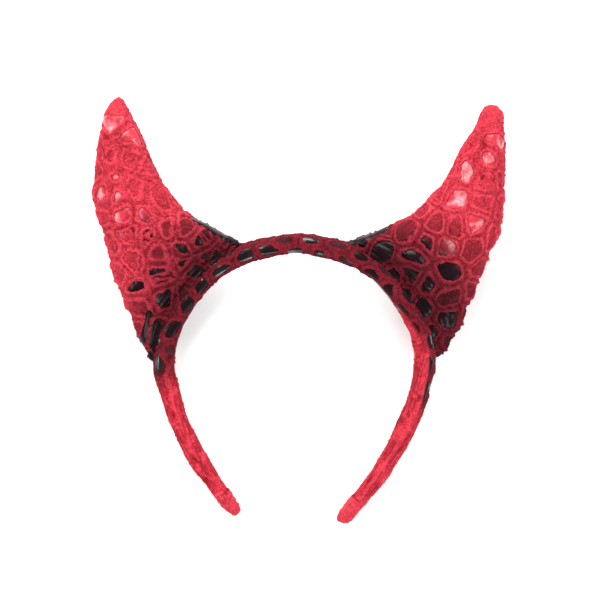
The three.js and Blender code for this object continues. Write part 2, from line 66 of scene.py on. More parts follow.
HOOP_OUTLINE = table(
    "across down",
    (0, 0), (0.19, 0.012), (0.36, 0.032), (0.617, 0.095), (0.814, 0.194), (0.943, 0.29),
    (1, 0.4), (0.963, 0.519), (0.866, 0.655), (0.715, 0.79), (0.398, 1),
)
BAND_SECTIONS = table(
    "at thickness depth",
    (0, 1, 1), (0.2, 1.04, 1), (0.45, 1.16, 1), (0.58, 1.04, 0.98),
    (0.75, 1.04, 0.93), (0.88, 0.88, 0.87), (0.94, 0.62, 0.83), (1, 0.5, 0.8),
)
HORN_SECTIONS = table(
    "at inner outer depth",
    (-0.14, 0.64, 0.52, 0.9), (0, 0.555, 0.465, 0.92), (0.15, 0.462, 0.378, 0.95),
    (0.25, 0.4, 0.325, 0.975), (0.35, 0.337, 0.286, 1), (0.45, 0.29, 0.258, 0.99),
    (0.55, 0.248, 0.228, 0.9), (0.65, 0.212, 0.19, 0.765), (0.75, 0.178, 0.148, 0.61),
    (0.85, 0.128, 0.105, 0.44), (0.94, 0.063, 0.066, 0.25), (0.985, 0.028, 0.031, 0.12),
    (1, 0.004, 0.004, 0.015),
)
HORNS = {
    "left": dict(side=-1, lean=46, turn=49.6, reach=1, fullness=1.01, nudge=(0, 0)),
    "right": dict(side=1, lean=41.4, turn=47.2, reach=0.985, fullness=0.99, nudge=(-1.1, 1.2)),
}
# Lumps of the stuffing, then smaller ones where lace and cloth bunch up:
# place along, degrees around, and spread and height as shares of the horn's depth
LUMPS = {
    "left": [
        (0.6, 0, 0.22, 0.034), (0.5, -15, 0.16, -0.02), (0.3, 100, 0.3, -0.03), (0.55, 180, 0.25, 0.02),
        (0.8, 0, 0.3, 0.036), (0.62, 0, 0.16, 0.026), (0.4, 180, 0.2, -0.016), (0.82, 180, 0.2, 0.016),
        (0.54, 180, 0.15, -0.042), (0.14, 0, 0.12, -0.034), (0.3, 0, 0.12, 0.02), (0.0, 0, 0.05, 0.05),
        (0.06, 180, 0.06, 0.01), (0.2, 180, 0.14, 0.02),
    ],
    "right": [
        (0.46, 8, 0.2, 0.05), (0.97, 20, 0.16, 0.035), (0.64, 0, 0.2, -0.025), (0.34, 80, 0.3, -0.028),
        (0.955, 178, 0.07, 0.02), (0.78, 178, 0.26, 0.026), (0.43, 5, 0.09, -0.066), (0.24, 0, 0.09, 0.034),
        (0.03, 0, 0.07, 0.03), (0.62, 0, 0.14, 0.034), (0.93, 10, 0.08, -0.02), (0.0, 0, 0.07, 0.03),
        (0.52, 180, 0.14, 0.026), (0.12, 0, 0.09, 0.034), (0.2, 180, 0.2, 0.022), (0.32, 0, 0.08, 0.02),
    ],
}


def smooth_at(rows, key, at):
    """Smooth value of a table's column, rows sorted by 'at'"""
    a, v = rows["at"], rows[key]
    last = len(a) - 1
    below, above = np.maximum(np.arange(last + 1) - 1, 0), np.minimum(np.arange(last + 1) + 1, last)
    slope = (v[above] - v[below]) / (a[above] - a[below])
    i = np.clip(np.searchsorted(a, at) - 1, 0, last - 1)
    span = a[i + 1] - a[i]
    t = np.clip((at - a[i]) / span, 0, 1)
    t2, t3 = t * t, t**3
    return (
        (2 * t3 - 3 * t2 + 1) * v[i]
        + (t3 - 2 * t2 + t) * span * slope[i]
        + (3 * t2 - 2 * t3) * v[i + 1]
        + (t3 - t2) * span * slope[i + 1]
    )


def smoothstep(x, low, high):
    t = np.clip((x - low) / (high - low), 0, 1)
    return t * t * (3 - 2 * t)


def bell(x, middle, spread):
    return np.exp(-(((x - middle) / spread) ** 2))


def within(x, low, high):
    return (x > low) & (x < high)


def unit(v):
    return v / np.maximum(np.linalg.norm(v, axis=-1, keepdims=True), 1e-12)


def lifted(points, normals, lift):
    return points + normals * lift[..., None]


def wrapped(angle):
    """The same angle, from minus half a turn to half a turn"""
    return np.angle(np.exp(1j * angle))


def turns(columns):
    """Angles of evenly spaced columns, once around"""
    return np.arange(columns) * 2 * np.pi / columns


# Noise from whole number hashes, the same on every run
MIXERS, WORD = (374761393, 668265263, 2147483647, 1274126177, 2246822519), 0xFFFFFFFF
THREE_LAYERS = 1 + 1 / 2 + 1 / 4


def hashed(place, seed):
    """A number from 0 to 1 for each whole number place"""
    x, y, z = (place[..., k] for k in range(3))
    h = (x * MIXERS[0] + y * MIXERS[1] + z * MIXERS[2] + seed * MIXERS[3]) & WORD
    h = ((h ^ (h >> 13)) * MIXERS[3]) & WORD
    h = ((h ^ (h >> 16)) * MIXERS[4]) & WORD
    return ((h ^ (h >> 15)) & 0xFFFFFF) / float(0x1000000)


def value_noise(points, pitch, seed):
    """Smooth noise from -1 to 1 with lumps of the given pitch"""
    q = points / pitch
    low = np.floor(q).astype(np.int64)
    f = q - low
    f = f * f * (3 - 2 * f)
    total = 0.0
    for step in product((0, 1), repeat=3):
        x, y, z = (f[..., k] if step[k] else 1 - f[..., k] for k in range(3))
        total = total + x * y * z * hashed(low + step, seed)
    return total * 2 - 1


def layered_noise(points, pitch, seed, layers=3):
    """Noise of halving pitch and height"""
    return sum(value_noise(points, pitch / 2**k, seed + k) / 2**k for k in range(layers)) / THREE_LAYERS


def noise_vector(points, axes, *layers):
    """Noise along each axis, in layers of pitch, seed and height"""
    return sum(
        np.stack([value_noise(points, pitch, seed + k) for k in range(axes)], -1) * height
        for pitch, seed, height in layers
    )


def knots(points, pitch, seed):
    """Distance to the nearest of scattered knots, as a share of their pitch"""
    q = points / pitch
    low = np.floor(q).astype(np.int64)
    nearest = np.full(q.shape[:-1], 9.0)
    for step in product((-1, 0, 1), repeat=3):
        cell = low + step
        away = sum((q[..., k] - (cell[..., k] + hashed(cell, seed + k))) ** 2 for k in range(3))
        nearest = np.minimum(nearest, away)
    return np.sqrt(nearest)


# The hoop's centre line, as a centripetal spline through its outline

def hoop_line():
    across, down = HOOP_OUTLINE["across"], HOOP_OUTLINE["down"]
    xs = np.concatenate([-across[2:0:-1], across]) * HOOP_HALF_WIDTH
    ys = -np.concatenate([down[2:0:-1], down]) * HOOP_HEIGHT
    p = np.stack([xs, ys], 1)
    p = np.vstack([2 * p[0] - p[1], p, 2 * p[-1] - p[-2]])
    out = []
    t = np.linspace(0, 1, 200, endpoint=False)[:, None]
    for k in range(1, len(p) - 2):
        a, b, c, d = p[k - 1 : k + 3]
        d0, d1, d2 = (np.linalg.norm(n - m) ** 0.5 for m, n in ((a, b), (b, c), (c, d)))
        t1 = ((b - a) / d0 - (c - a) / (d0 + d1) + (c - b) / d1) * d1
        t2 = ((c - b) / d1 - (d - b) / (d1 + d2) + (d - c) / d2) * d1
        out.append(b + t1 * t + (-3 * b + 3 * c - 2 * t1 - t2) * t**2 + (2 * b - 2 * c + t1 + t2) * t**3)
    line = np.vstack(out + [p[-2]])
    run = np.concatenate([[0], np.cumsum(np.linalg.norm(np.diff(line, axis=0), axis=1))])
    return line, run - run[np.argmax(line[:, 0] >= 0)]


LINE, RUN = hoop_line()
LEG = RUN[-1]
BAND_END = LEG - WRAP_THICKNESS - SEAT_GAP
WRAP_START = LEG - WRAP_LENGTH


def line_at(run):
    return np.stack([np.interp(run, RUN, LINE[:, k]) for k in (0, 1)], -1)


def band_station(distance):
    """Centre, outward direction and half sizes of the band at distances from its top"""
    side = np.where(distance < 0, -1.0, 1.0)
    run = np.abs(distance) * np.where(distance < 0, LEFT_LEG_SHARE, 1)
    step = 0.5
    tangent = unit(line_at(np.minimum(run + step, LEG)) - line_at(np.minimum(run, LEG - step) - step))
    centre = lifted(line_at(run), tangent, np.maximum(run - LEG, 0))
    outward = np.stack([-tangent[..., 1] * side, tangent[..., 0]], -1)
    lean = LEG_LEAN * smoothstep(-centre[..., 1] / HOOP_HEIGHT, LEG_LEAN_START, 1)
    centre = np.stack([side * centre[..., 0] - lean, centre[..., 1]], -1)
    share = np.minimum(np.abs(distance) / LEG, 1)
    return (
        centre,
        outward,
        BAND_THICKNESS * smooth_at(BAND_SECTIONS, "thickness", share) / 2,
        BAND_DEPTH * smooth_at(BAND_SECTIONS, "depth", share) / 2,
    )


def rounded_section(angle, squareness):
    c, s = np.cos(angle), np.sin(angle)
    return np.sign(c) * np.abs(c) ** (2 / squareness), np.sign(s) * np.abs(s) ** (2 / squareness)


def band_surface(angle, distance, lift):
    """Points around the band, with angle 0 on the outside of the hoop"""
    centre, outward, thick, deep = band_station(distance)
    out, front = rounded_section(angle, BAND_SQUARENESS)
    xy = lifted(centre, outward, out * (thick + lift))
    return np.concatenate([xy, (front * (deep + lift))[..., None]], -1)


SEAT_LIFT = LACE_GAP + LACE_THICKNESS + SEAT_GAP


def clear_of_band(xy, side):
    """How far points of the hoop's plane, turned over to the right, lie outside the laced band"""
    centre, _, thick, _ = band_station(side * np.linspace(1e-6, LEG, 181))
    away = np.linalg.norm(xy[..., None, :] - centre * (side, 1), axis=-1) - thick
    return away.min(-1) - SEAT_LIFT


class Horn:
    """The fabric of one horn, by the angle around it, 0 at its outer edge, and the share of the way up"""

    def __init__(self, name, side, lean, turn, reach, fullness, nudge):
        self.name, self.side, self.fullness, self.nudge = name, side, fullness, np.array(nudge)
        self.root = band_station(np.array(HORN_SEAT))[0]
        self.length = HORN_LENGTH * reach
        self.start = math.radians(lean)
        self.turning = math.radians(turn) / self.length
        self.moved = None
        self.seams = self.find_seams()

    def spine(self, share):
        heading = self.start + self.turning * share * self.length
        x = self.root[0] + (np.sin(heading) - math.sin(self.start)) / self.turning
        y = self.root[1] - (np.cos(heading) - math.cos(self.start)) / self.turning
        return x, y, heading

    def flat(self, angle, share):
        """Places in the hoop's plane"""
        x, y, heading = self.spine(share)
        across, _ = rounded_section(angle, HORN_SQUARENESS)
        outer, inner = (smooth_at(HORN_SECTIONS, key, share) for key in ("outer", "inner"))
        width = across * np.where(across > 0, outer, inner) * HORN_BASE_WIDTH * self.fullness
        return np.stack([x + np.sin(heading) * width, y - np.cos(heading) * width], -1)

    def find_seams(self, count=180):
        """Angles, and the share at which the horn comes clear of the laced band there"""
        angles = np.arange(count + 1) * 2 * np.pi / count
        shares = np.arange(0.34, -0.15, -0.01)
        clear = clear_of_band(self.flat(angles[:, None], shares[None, :]), self.side) > 0
        inside = shares[np.argmin(clear, axis=1)]
        outside = inside + 0.01
        for _ in range(16):
            middle = (inside + outside) / 2
            free = clear_of_band(self.flat(angles, middle), self.side) > 0
            outside, inside = np.where(free, middle, outside), np.where(free, inside, middle)
        return angles, outside

    def plain(self, angle, along):
        """Points of the horn without its lumps, from its seam with the band to its tip"""
        base = np.interp(np.mod(angle, 2 * np.pi), *self.seams)
        share = base + (1 - base) * along
        xy = self.flat(angle, share)
        _, front = rounded_section(angle, HORN_SQUARENESS)
        pinch = 1 - np.clip(1 - along * (1 - base) * self.length / HORN_PINCH, 0, 1) ** 2
        full = smooth_at(HORN_SECTIONS, "depth", share) * HORN_DEPTH
        foot = HORN_SEAM_DEPTH - (HORN_SEAM_DEPTH - TUCK_DEPTH) * smoothstep(-along, TUCK_START, TUCK)
        depth = np.minimum(foot, full) * (1 - pinch) + full * pinch
        xy = xy + self.nudge * smoothstep(along, NUDGE_START, 1)[..., None]
        return np.stack([self.side * xy[..., 0], xy[..., 1], front * depth / 2], -1)

    def swell(self, angle, along):
        """How far the lumps stand out"""
        total = 0.0
        for at, around, spread, height in LUMPS[self.name]:
            turned = wrapped(angle - math.radians(around))
            radius = smooth_at(HORN_SECTIONS, "depth", np.array(at)) * HORN_DEPTH / 2
            away = np.hypot(turned * radius, (along - at) * self.length) / (spread * HORN_DEPTH)
            total = total + height * HORN_DEPTH * np.exp(-(away**2))
        return total * (1 - smoothstep(along, SWELL_END, 1))

    def surface(self, angle, along):
        """Points and outward directions on a grid whose rows go up and columns around"""
        points = self.plain(angle, along)
        normals = grid_normals(points, self.side)
        points = lifted(points, normals, self.swell(angle, along))
        if self.moved is not None:
            points = lifted(points, normals, resample(self.moved, angle, along))
        return points, grid_normals(points, self.side)

    def tip(self, lift):
        x, y, heading = self.spine(1.0)
        x, y = x + self.nudge[0], y + self.nudge[1]
        return np.array([self.side * (x + math.cos(heading) * lift), y + math.sin(heading) * lift, 0.0])


def grid_normals(points, side):
    around = np.roll(points, -1, 1) - np.roll(points, 1, 1)
    up = np.gradient(points, axis=0)
    normals = unit(np.cross(around, up)) * -side
    normals[-1] = unit(normals[-2] + 0.3 * up[-1] / max(np.linalg.norm(up[-1][0]), 1e-9))
    return normals


def resample(field, angle, along):
    """Smooth value of a coarse field, which meets itself around and ends along"""
    rows, columns = field.shape
    u, v = np.mod(angle, 2 * np.pi) / (2 * np.pi) * columns, np.clip(along, 0, 1) * (rows - 1)
    iu, iv = np.floor(u).astype(int), np.minimum(np.floor(v).astype(int), rows - 2)
    fu, fv = u - iu, v - iv

    def weights(f):
        return (
            (1 - f) ** 3 / 6, (3 * f**3 - 6 * f**2 + 4) / 6,
            (-3 * f**3 + 3 * f**2 + 3 * f + 1) / 6, f**3 / 6,
        )

    total = 0.0
    for a, wu in enumerate(weights(fu)):
        for b, wv in enumerate(weights(fv)):
            total = total + wu * wv * field[np.clip(iv + b - 1, 0, rows - 1), (iu + a - 1) % columns]
    return total


def to_row(points):
    """From the worn frame in millimetres to the row frame in metres, clear of the floor"""
    c, s = math.cos(REST_TILT), math.sin(REST_TILT)
    x, y, z = points[..., 0], points[..., 1], points[..., 2]
    placed = np.stack([x, y * c - z * s, y * s + z * c], -1) + REST_SHIFT
    placed[..., 2] = np.maximum(placed[..., 2], FLOOR_ROOM)
    return placed * 0.001


def mesh_object(name, points, faces, layers=None):
    """Smooth shaded object from points in the worn frame and faces of three or four corners"""
    used = np.zeros(len(points), bool)
    for f in faces:
        used[f.ravel()] = True
    new = np.cumsum(used) - 1
    faces = [new[f] for f in faces if len(f)]
    mesh = bpy.data.meshes.new(name)
    mesh.vertices.add(int(used.sum()))
    mesh.vertices.foreach_set("co", to_row(points[used]).ravel())
    corners = np.concatenate([f.ravel() for f in faces])
    sizes = np.concatenate([np.full(len(f), f.shape[1]) for f in faces])
    mesh.loops.add(len(corners))
    mesh.loops.foreach_set("vertex_index", corners)
    mesh.polygons.add(len(sizes))
    mesh.polygons.foreach_set("loop_start", np.concatenate([[0], np.cumsum(sizes)[:-1]]))
    mesh.polygons.foreach_set("loop_total", sizes)
    mesh.polygons.foreach_set("use_smooth", np.ones(len(sizes), bool))
    for key, values in (layers or {}).items():
        mesh.attributes.new(key, "FLOAT", "POINT").data.foreach_set("value", np.asarray(values)[used])
    mesh.update(calc_edges=True)
    mesh.validate()
    o = bpy.data.objects.new(name, mesh)
    bpy.context.scene.collection.objects.link(o)
    return o


def grid_faces(rows, columns, keep=None, flip=False):
    """Faces of a grid that goes around, where at least one corner is kept"""
    i, j = np.meshgrid(np.arange(rows - 1), np.arange(columns), indexing="ij")
    a, b = i * columns + j, i * columns + (j + 1) % columns
    quads = np.stack([a, b, b + columns, a + columns], -1).reshape(-1, 4)
    if keep is not None:
        quads = quads[keep.ravel()[quads].any(1)]
    return quads[:, ::-1] if flip else quads


def ring(row, columns):
    return row * columns + np.arange(columns)


def fan(centre, edge, flip):
    """Triangles from one point to the edge around it"""
    tris = np.stack([np.full(len(edge), centre), edge, np.roll(edge, -1)], -1)
    return tris[:, ::-1] if flip else tris


# Cloth of the horns: the skin is blown up a little over its stuffing, and creases.
CLOTH_ROWS, CLOTH_COLUMNS, CLOTH_FRAMES = 44, 56, 20
# The skin starts this far under its place, and ends at most this far from the mean
CLOTH_INSET, CLOTH_MOST = 0.9, 1.6
# The cloth is worked larger than life, where its solver is steady
CLOTH_SCALE = 10


def settled(horn):
    """How far the skin of a horn moves along its outward direction, by simulation"""
    angle, along = np.meshgrid(turns(CLOTH_COLUMNS), np.linspace(0, SWELL_END, CLOTH_ROWS))
    points, normals = horn.surface(angle, along)
    count, flip = CLOTH_ROWS * CLOTH_COLUMNS, horn.side < 0
    start = np.vstack([(points - normals * CLOTH_INSET).reshape(-1, 3), horn.tip(-CLOTH_INSET)[None]])
    o = mesh_object("settling", start, [
        grid_faces(CLOTH_ROWS, CLOTH_COLUMNS, flip=flip),
        fan(count, ring(CLOTH_ROWS - 1, CLOTH_COLUMNS), flip),
    ])
    grown = to_row(start) * CLOTH_SCALE
    o.data.vertices.foreach_set("co", grown.ravel())
    pins = o.vertex_groups.new(name="pins")
    pins.add(list(range(CLOTH_COLUMNS * 2)), 1.0, "REPLACE")
    cloth = o.modifiers.new("cloth", "CLOTH")
    s = cloth.settings
    s.quality, s.mass = 6, 0.3
    s.tension_stiffness, s.compression_stiffness, s.shear_stiffness, s.bending_stiffness = 12, 4, 6, 0.4
    s.vertex_group_mass = "pins"
    s.use_pressure, s.uniform_pressure_force = True, 3.0
    s.shrink_min = -0.035
    s.effector_weights.gravity = 0
    cloth.point_cache.frame_start, cloth.point_cache.frame_end = 1, CLOTH_FRAMES
    scene = bpy.context.scene
    for k in range(1, CLOTH_FRAMES + 1):
        scene.frame_set(k)
    evaluated = o.evaluated_get(bpy.context.evaluated_depsgraph_get()).to_mesh()
    moved = np.empty(len(start) * 3)
    evaluated.vertices.foreach_get("co", moved)
    scene.frame_set(1)
    moved = (moved.reshape(-1, 3) - grown)[:count] * (1000 / CLOTH_SCALE)
    cos, sin = math.cos(REST_TILT), math.sin(REST_TILT)
    tilt = np.array([[1, 0, 0], [0, cos, -sin], [0, sin, cos]])
    outward = (moved.reshape(points.shape) * (normals @ tilt.T)).sum(-1)
    outward = outward - outward.mean()
    mesh = o.data
    bpy.data.objects.remove(o)
    bpy.data.meshes.remove(mesh)
    ends = smoothstep(along, 0, 0.06) * (1 - smoothstep(along, 0.9, 1))
    face = 0.2 + 0.8 * np.abs(np.sin(angle))
    return np.clip(outward, -CLOTH_MOST, CLOTH_MOST) * ends * face


# Lace: openings around scattered seeds, each with a rope of cord around it.
# Heights of a net over its cloth: in an opening, at the edge of its mesh, its lowest and its fullest
OPEN, EDGE, LOWEST, FULLEST = -1.0, -0.1, -0.3, 1.3
# How round the corners of the cells are, and how many points are worked on at once
CORNER_ROUNDING, CHUNK = 0.5, 20000


def scattered(points, apart, seed):
    """Every so many of the points that keep their distance from each other"""
    order = np.random.RandomState(seed).permutation(len(points))
    kept = []
    for k in order:
        if not kept or np.min(np.linalg.norm(points[kept] - points[k], axis=1) / apart[k]) > 1:
            kept.append(k)
    return np.array(kept)


def nearest_cells(points, seeds):
    """The seed that each point belongs to, how far its border is, and the same with round corners"""
    flat = points.reshape(-1, points.shape[-1])
    own, border, rounded = np.empty(len(flat), int), np.empty(len(flat)), np.empty(len(flat))
    between = np.linalg.norm(seeds[:, None] - seeds[None], axis=-1) + np.eye(len(seeds))
    for first in range(0, len(flat), CHUNK):
        span = slice(first, first + CHUNK)
        away = ((flat[span, None] - seeds[None]) ** 2).sum(-1)
        mine = away.argmin(1)
        each = np.arange(len(mine))
        beyond = (away - away[each, mine][:, None]) / (2 * between[mine])
        beyond[each, mine] = np.inf
        hard = beyond.min(1)
        crowd = np.exp(-(beyond - hard[:, None]) / CORNER_ROUNDING).sum(1)
        own[span], border[span] = mine, hard
        rounded[span] = hard - CORNER_ROUNDING * np.log(crowd)
    return [a.reshape(points.shape[:-1]) for a in (own, border, rounded)]


def net_height(points, cells, cord, filled, seed, relief):
    """Height of the net over its cloth, and how sheer it is"""
    own, border, rounded = cells
    width = cord[own] + 0.35 * value_noise(points, 4.0, seed + 5) + 0.2 * value_noise(points, 1.4, seed + 6)
    rope = np.clip(0.34 * width, 0.45, 0.8)
    across = (rounded - (width - rope)) / rope
    slack = 0.2 + 0.35 * relief * np.abs(layered_noise(points, 5.0, seed + 8, 2))
    rim = 0.2 + relief * rope * np.sqrt(np.clip(1 - across**2, 0, 1))
    creased = smoothstep(value_noise(points, 6.0, seed + 7), -0.6, 0.4) * (1 - smoothstep(border, 0.1, 0.45))
    cords = (slack + np.maximum(rim - slack, 0)) * (1 - 0.8 * creased)
    inside = across > 0.94
    height = np.where(inside, np.where(filled[own], slack - 0.06, OPEN), cords)
    sheer = np.where(inside, 1.0, 0.6 * smoothstep(-across, 0.8, 1.5))
    return height, sheer


def knotted(points, height, seed, amount):
    """The height with the small knots of the thread on it, and the painted shade for points deep between
    knots and along creases
    """
    grain = knots(points, 1.0, seed + 11)
    rough = amount * (0.55 - grain) + 0.14 * value_noise(points, 0.75, seed + 17)
    uneven = 0.22 * layered_noise(points, 7.0, seed + 23)
    wave = layered_noise(points, 3.6, seed + 29, 2)
    puckers = 0.5 * (0.3 - np.abs(wave))
    knotty = np.maximum(height + rough + uneven + puckers, 0.17)
    # Painted shade: dark lines along the valleys of the puckers and between knots, which the material paints
    # darker
    valley_shade_lines = smoothstep(-np.abs(value_noise(points, 4.4, seed + 37)), -0.13, 0.0)
    painted_crevice_shade = np.maximum(0.45 * smoothstep(grain, 0.45, 0.85), valley_shade_lines * smoothstep(wave, -0.3, 0.2))
    return np.where(height > 0, knotty, height), painted_crevice_shade


def resmoothed(height):
    """Height averaged over some millimetres, around and along"""
    for _ in range(5):
        height = (np.roll(height, 2, 1) + np.roll(height, -2, 1) + 2 * height) / 4
        below, above = np.vstack([height[:2], height[:-2]]), np.vstack([height[2:], height[-2:]])
        height = (below + above + 2 * height) / 4
    return height


# How the horns are dressed: the size of a net's grid, and at what step of it seeds may lie
NET_ROWS, NET_COLUMNS, SEED_STEP = 280, 368, 3
# Where around a horn its strip of bare cloth lies, how long it takes to end, and how strong it has to be
STRIP_ANGLE, STRIP_FADE, BARE = 2.99, 0.12, 0.45
# Layers of lace: spacing of cells, least and most half width of cord, share of filled cells low and high up,
# and how much lower the layer lies. Strip: how narrow it is and where it ends. Thread, web and cloth: where
# each turns red, over what spread, and how much sooner at the outer edge.
LOOKS = {
    "left": dict(
        layers=[
            dict(seed=101, apart=9.4, cord=(1.7, 2.5), filled=(0.4, 0.4), lower=0.0),
            dict(seed=151, apart=12.5, cord=(1.3, 1.8), filled=(0.15, 0.1), lower=0.15),
        ],
        strip=dict(narrow=0.955, end=0.36),
        thread=dict(middle=0.17, spread=0.44, outer=0.1),
        web=dict(middle=0.24, spread=0.44, outer=0.14),
        cloth=dict(middle=0.36, spread=0.2, outer=0.0),
    ),
    "right": dict(
        layers=[dict(seed=202, apart=8.8, cord=(1.5, 2.3), filled=(0.1, 0.55), lower=0.0)],
        strip=dict(narrow=0.97, end=0.27),
        thread=dict(middle=0.26, spread=0.5, outer=0.0),
        web=dict(middle=0.35, spread=0.56, outer=0.0),
        cloth=dict(middle=0.31, spread=0.26, outer=0.0),
    ),
}


def bare_cloth(horn, points, angle, along, narrow, end):
    """Where the cloth lies bare: a strip at the inner edge, and the left horn's lower corner"""
    patchy = smoothstep(layered_noise(points, 6.0, 45), -0.6, 0.1)
    length = 1 - smoothstep(along, end - STRIP_FADE, end)
    bare = smoothstep(np.cos(angle - STRIP_ANGLE), narrow, 1.0) * length * patchy
    if horn.side < 0:
        frayed = along + 0.02 * value_noise(points, 3.0, 46)
        corner = smoothstep(np.cos(angle), 0.5, 0.66) * (1 - smoothstep(frayed, 0.05, 0.08))
        bare = np.maximum(bare, corner * smoothstep(np.abs(frayed - 0.022), 0.006, 0.014))
    return bare > BARE


def lace_layer(horn, points, angle, along, seed, apart, cord, filled, lower):
    """Height of one layer of a horn's lace, and how sheer it is"""
    skin = horn.plain(angle, along)[::SEED_STEP, ::SEED_STEP].reshape(-1, 3)
    picked = scattered(skin, apart * (1 + 0.22 * value_noise(skin, 16.0, seed)), seed)
    seeds = skin[picked]
    rng = np.random.RandomState(seed + 1)
    place_up = np.linalg.norm(seeds[:, :2] - horn.root * (horn.side, 1), axis=1) / horn.length
    widths = rng.uniform(*cord, len(seeds)) + 0.5 * smoothstep(place_up, 0.4, 0.7)
    low, high = filled
    webbed = rng.uniform(size=len(seeds)) < low + (high - low) * smoothstep(place_up, 0.3, 0.5)
    around, up = (a[::SEED_STEP, ::SEED_STEP].ravel()[picked] for a in (np.cos(angle), along))
    webbed |= ((around < -0.88) & (up > 0.12)) | (around > 0.88) | (up > 0.93)
    webbed |= (around < -0.6) & within(up, 0.2, 0.42)
    warp = noise_vector(points, 3, (7.0, seed + 30, 1.5), (1.8, seed + 40, 0.4), (0.95, seed + 50, 0.22))
    relief = 1.0 - 0.35 * smoothstep(along, 0.3, 0.6)
    height, sheer = net_height(points, nearest_cells(points + warp, seeds), widths, webbed, seed, relief)
    return np.maximum(height - lower * (1 + 20 * smoothstep(along, 0.42, 0.55)), OPEN), sheer


def foot_faces(columns, flip):
    """Faces across a horn's open foot, from the front of its first row to the back"""
    half = columns // 2
    k = np.arange(1, half)
    across = np.stack([k - 1, (columns - k + 1) % columns, columns - k, k], -1)[1:]
    ends = np.array([[0, columns - 1, 1], [half - 1, half + 1, half]])
    return [f[:, ::-1] if flip else f for f in (across, ends)]


def horn_pieces(horn, look):
    """The cloth and the net of a horn"""
    angle, along = np.meshgrid(turns(NET_COLUMNS), np.linspace(-TUCK, 0.992, NET_ROWS))
    points, normals = horn.surface(angle, along)
    flip = horn.side < 0

    height, sheer = np.full(angle.shape, OPEN), np.zeros(angle.shape)
    for layer in look["layers"]:
        layer_height, layer_sheer = lace_layer(horn, points, angle, along, **layer)
        sheer = np.where(layer_height > height, layer_sheer, sheer)
        height = np.maximum(height, layer_height)
    height = np.where(bare_cloth(horn, points, angle, along, **look["strip"]), OPEN, height)
    opening = smoothstep(-resmoothed(height), -0.3, 0.9)

    # The lace closes over the tip, and has scallops at the outer edge
    closing = smoothstep(along + 0.02 * value_noise(points, 4.0, 47), 0.87, 0.925)
    height = height * (1 - closing) + closing * (0.5 + 0.35 * layered_noise(points, 3.4, 48))
    height = np.where(along > 0.95, np.maximum(height, 0.2), height)
    seed = look["layers"][0]["seed"]
    height, painted_crevice_shade = knotted(points, height, seed, 0.4)
    scallop = smoothstep(value_noise(points, 3.4, seed + 60), 0.0, 0.7) * smoothstep(along, 0.05, 0.12)
    height = height + np.where(height > 0, 0.9 * scallop * smoothstep(np.cos(angle), 0.93, 0.995), 0)

    folds = seam_folds(horn, angle, along)
    cloth_points = lifted(points, normals, folds + 0.7 * opening + 0.05)
    net_points = lifted(points, normals, folds + 0.1 + np.maximum(height, LOWEST))
    thread, web, red = (horn_redness(points, angle, along, **look[key]) for key in ("thread", "web", "cloth"))
    # The net's depth becomes painted shade low down and painted highlight high up in its material, and its
    # crevice mark becomes painted shade
    net = mesh_object(
        f"horn_{horn.name}_net", np.vstack([net_points.reshape(-1, 3), horn.tip(0.7)[None]]),
        [grid_faces(NET_ROWS, NET_COLUMNS, height > EDGE, flip),
         fan(NET_ROWS * NET_COLUMNS, ring(NET_ROWS - 1, NET_COLUMNS), flip)],
        {key: np.append(values.ravel(), at_tip) for key, values, at_tip in (
            ("tone", thread, 1.0), ("depth", np.clip(height / FULLEST, 0, 1), 0.6),
            ("painted_crevice_shade", painted_crevice_shade, 0.0), ("sheer", sheer, 0.0), ("web", web, 1.0),
        )},
    )

    # The cloth has half as many rows and columns, and is closed across its foot and at its tip
    rows, columns = NET_ROWS // 2, NET_COLUMNS // 2
    cover = mesh_object(
        f"horn_{horn.name}_cover", np.vstack([cloth_points[::2, ::2].reshape(-1, 3), horn.tip(0.0)[None]]),
        [grid_faces(rows, columns, flip=flip), *foot_faces(columns, flip),
         fan(rows * columns, ring(rows - 1, columns), flip)],
        {"red": np.append(red[::2, ::2].ravel(), 1.0)},
    )
    return cover, net


def seam_folds(horn, angle, along):
    """Folds of the foot that run beside the band, and the crease against it"""
    run = along * horn.length
    wave = np.sin(2 * np.pi * (run - 1.2) / 4.6 + 0.8 * np.sin(angle * 3))
    face = 0.15 + 0.85 * np.abs(np.sin(angle)) ** 1.5
    crease = -1.5 * face * (1 - smoothstep(run, 0.5, 3.8)) * smoothstep(run, -3, 0)
    return crease + 0.55 * wave * face * smoothstep(run, 0.4, 2.5) * (1 - smoothstep(run, 8, 16))


def horn_redness(points, angle, along, middle, spread, outer):
    """Where a horn turns from black to red on the way up"""
    sooner = 0.07 * layered_noise(points, 14.0, 71) + outer * np.cos(angle)
    return smoothstep(along + sooner, middle - spread / 2, middle + spread / 2)


# The band: cloth over the hoop, lace over its outside, front and back.
# Places along it are in millimetres from its top, and less than zero on the left.
BAND_ROWS, BAND_COLUMNS = 860, 92
# Girth that the cells are laid out on, and lanes of cells along it with the cells' pitch
GIRTH, LANES, LANE_PITCH = 31.0, 5, 12.0
# What a millimetre across and along counts for between seeds, so that cells are long
SQUASH = np.array([1.0, 0.5])
# Bulges and hollows: where, over what length, and how high on the outside and on the inside
BAND_BUMPS = [(88, 12, -0.4, 0.8), (-52, 16, 0.0, -0.4), (15, 12, 0.4, 0.0), (-95, 6, 1.0, 0.0)]
# Offset of the legs towards the outside, by place
LEG_OFFSETS = ([-135, -100, -74, 100, 118, 138], [1.0, 0.7, 0, 0, 0.1, 1.1])
# Under the left horn the lanes at the front move by this much, to open beside it
LANE_MOVE = 2.3


